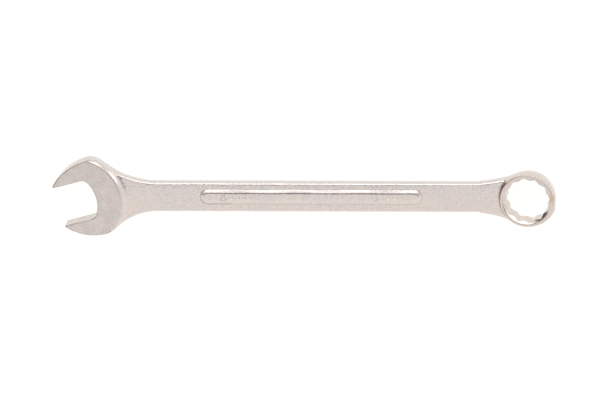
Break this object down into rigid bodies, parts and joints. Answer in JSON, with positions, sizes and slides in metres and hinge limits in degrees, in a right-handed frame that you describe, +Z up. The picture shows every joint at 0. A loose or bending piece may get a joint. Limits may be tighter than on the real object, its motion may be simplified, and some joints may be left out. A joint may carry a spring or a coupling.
{
  "type": "combination wrench",
  "caption": "Long forged steel wrench with an angled open end, a straight bar shank with a raised panel on each face, and a tilted twelve-point box end.",
  "frame": {"origin": "on the surface that the wrench lies on, under the middle of its bounding box", "axes": "+X along the shank from the open end to the box end, +Y across the shank, +Z up out of the face that carries the ring's raised side"},
  "size_m": [0.5178, 0.0802, 0.0348],
  "materials": {
    "plated_steel": "satin nickel-chrome plating over forged steel: smooth on the ground faces, finely mottled on the forged web"
  },
  "bodies": {
    "root": {"open_end_head": "plated_steel", "shank": "plated_steel", "box_end_head": "plated_steel"}
  },
  "joints": []
}
